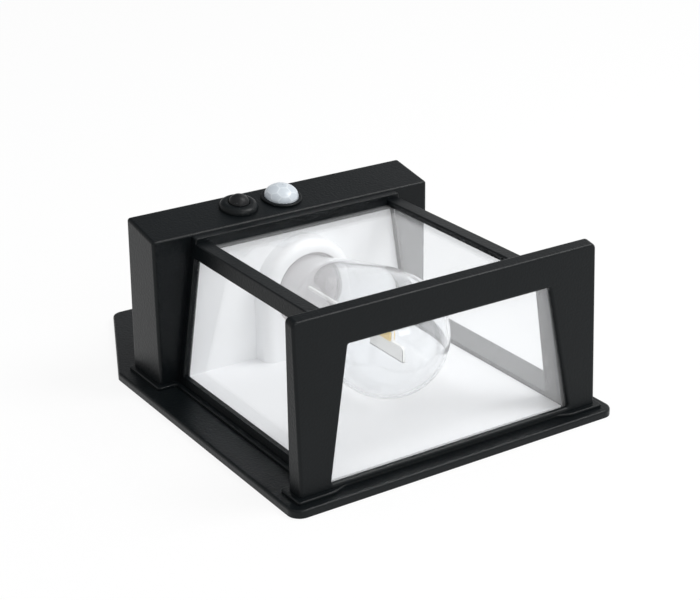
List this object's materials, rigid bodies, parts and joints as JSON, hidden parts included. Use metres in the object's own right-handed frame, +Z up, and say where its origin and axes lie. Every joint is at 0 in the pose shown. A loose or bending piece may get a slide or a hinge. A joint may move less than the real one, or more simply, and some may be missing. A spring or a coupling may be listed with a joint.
{
  "type": "solar wall light",
  "caption": "Black wall lantern with clear panels round a globe bulb, a tapered wall plate, a motion sensor dome, a push button and a solar panel on its upper face.",
  "frame": {"origin": "on the wall plane, midway between the two wall screw holes", "axes": "+Z up the wall, +Y into the wall, +X to the right seen from the front; the light stands out towards -Y"},
  "size_m": [0.1306, 0.0658, 0.176],
  "materials": {
    "black_shell": "satin moulded black plastic",
    "clear_shade": "clear polished plastic",
    "white_shell": "satin white plastic",
    "clear_bulb": "clear blown plastic",
    "grey_base": "satin grey plastic",
    "white_board": "white coated board",
    "phosphor": "yellow phosphor gel",
    "dark_board": "dark board",
    "silicon": "dark blue cells with fine lines",
    "clear_film": "clear film",
    "milky_lens": "milky faceted plastic",
    "black_rubber": "soft satin rubber",
    "tin_can": "plated can",
    "steel_screw": "zinc plated",
    "green_board": "solder mask",
    "cell_wrap": "metal can in a plastic sleeve",
    "nickel": "nickel plated spring steel"
  },
  "bodies": {
    "lamp": {"wall_plate": "black_shell", "housing_seal": "black_rubber", "plate_screws": "steel_screw", "lamp_body": "black_shell", "clear_cover": "clear_shade", "reflector": "white_shell", "bulb_globe": "clear_bulb", "bulb_base": "grey_base", "led_strip": "white_board", "led_chips": "phosphor", "solar_backing": "dark_board", "solar_cells": "silicon", "solar_cover": "clear_film", "pir_lens": "milky_lens", "pir_bezel": "black_shell", "pir_sensor": "tin_can", "button_collar": "black_shell", "switch_body": "dark_board", "circuit_board": "green_board", "board_screws": "steel_screw", "battery_cell": "cell_wrap", "battery_holder": "black_shell", "battery_contacts": "nickel"},
    "button": {"button_cap": "black_rubber", "switch_plunger": "dark_board"}
  },
  "joints": [
    {"name": "button_press", "type": "slide", "parent": "lamp", "child": "button", "axis": [0, 0.9823, 0.1876], "range_m": [0, 0.0012], "stiffness_N_per_m": 1500, "springref_m": -0.0003}
  ]
}
